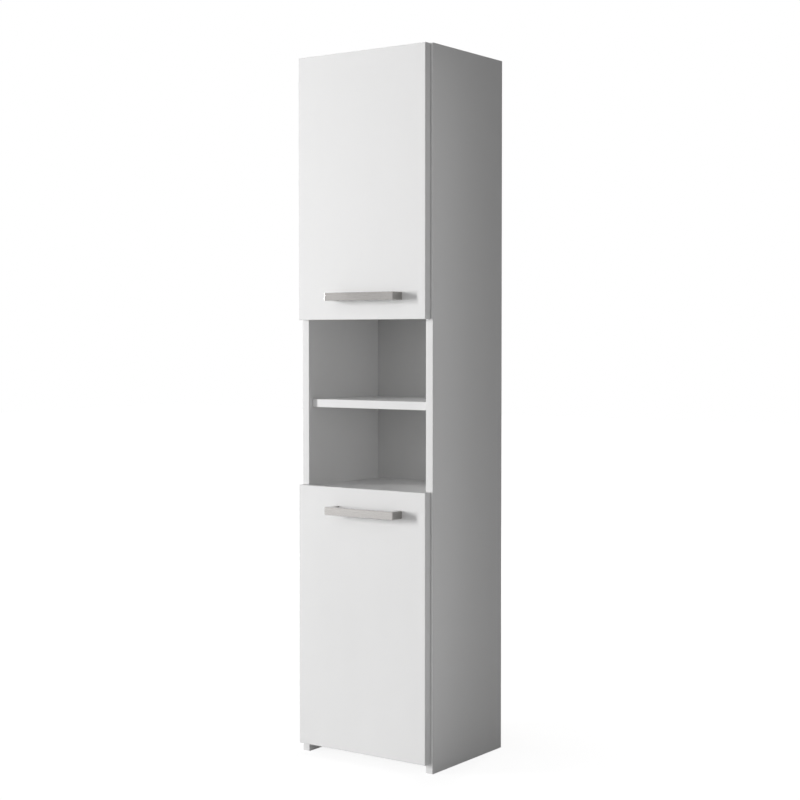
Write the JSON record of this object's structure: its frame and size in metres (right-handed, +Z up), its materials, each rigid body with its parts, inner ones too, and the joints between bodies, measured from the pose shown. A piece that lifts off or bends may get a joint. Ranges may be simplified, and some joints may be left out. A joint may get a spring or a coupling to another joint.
{
  "type": "tall bathroom cabinet",
  "caption": "Tall narrow bathroom cabinet with a hinged door above and below an open shelved niche, square bow handles and loose shelves inside.",
  "frame": {"origin": "on the floor, under the middle of the cabinet's width and of its whole depth, handles included", "axes": "+Z up, doors and handles face -Y, the hinges are on the -X side"},
  "size_m": [0.31, 0.292, 1.363],
  "materials": {
    "white_board": "satin white film on particle board",
    "white_door": "smooth satin white lacquer",
    "white_back": "white-faced hardboard",
    "satin_nickel": "satin nickel, fine brushing along the bar",
    "nickel_steel": "bright nickel-plated pressed steel",
    "plain_steel": "zinc-plated steel",
    "beech": "plain turned beech",
    "bumper_rubber": "soft translucent polyurethane"
  },
  "bodies": {
    "carcass": {"left_side_panel": "white_board", "right_side_panel": "white_board", "top_panel": "white_board", "upper_fixed_shelf": "white_board", "lower_fixed_shelf": "white_board", "bottom_panel": "white_board", "back_panel": "white_back", "niche_shelf": "white_board", "upper_shelf": "white_board", "lower_shelf": "white_board", "niche_shelf_pins": "nickel_steel", "upper_shelf_pins": "nickel_steel", "lower_shelf_pins": "nickel_steel", "dowels": "beech", "wall_brackets": "plain_steel", "upper_hinge_plates": "nickel_steel", "upper_hinge_arms": "nickel_steel", "lower_hinge_plates": "nickel_steel", "lower_hinge_arms": "nickel_steel"},
    "upper_door": {"upper_door_panel": "white_door", "upper_handle": "satin_nickel", "upper_door_bumpers": "bumper_rubber", "upper_hinge_cups": "nickel_steel", "upper_hinge_pins": "plain_steel"},
    "lower_door": {"lower_door_panel": "white_door", "lower_handle": "satin_nickel", "lower_door_bumpers": "bumper_rubber", "lower_hinge_cups": "nickel_steel", "lower_hinge_pins": "plain_steel"}
  },
  "joints": [
    {"name": "upper_door_hinge", "type": "hinge", "parent": "carcass", "child": "upper_door", "pos_m": [-0.1442, -0.109, 1.107], "axis": [0, 0, -1], "range_deg": [0, 95]},
    {"name": "lower_door_hinge", "type": "hinge", "parent": "carcass", "child": "lower_door", "pos_m": [-0.1442, -0.109, 0.274], "axis": [0, 0, -1], "range_deg": [0, 95]}
  ]
}
